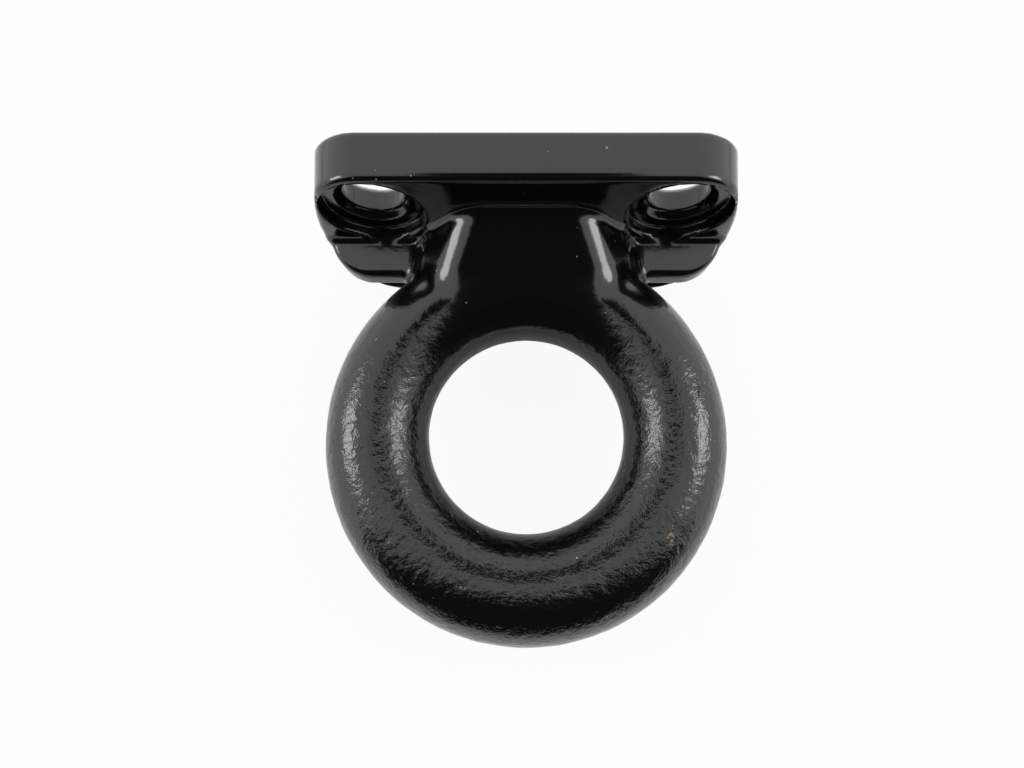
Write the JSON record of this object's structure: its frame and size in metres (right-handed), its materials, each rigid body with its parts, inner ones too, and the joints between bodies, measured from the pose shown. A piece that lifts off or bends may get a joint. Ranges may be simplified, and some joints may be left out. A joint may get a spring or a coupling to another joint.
{
  "type": "lunette ring",
  "caption": "Forged towing eye on an integral bolt-on flange: a thick round-section ring joined by a tapered neck and a mid-plane rib to a flat plate with drafted bolt seats.",
  "frame": {"origin": "centre of the flange's flat mounting face", "axes": "+Y out of the mounting face, away from the eye; +Z along the axis of the eye; +X along the flange"},
  "size_m": [0.1282, 0.1429, 0.076],
  "materials": {
    "black_paint": "glossy black paint over a rough forged surface, lightly chipped"
  },
  "bodies": {
    "root": {"lunette_ring": "black_paint"}
  },
  "joints": []
}
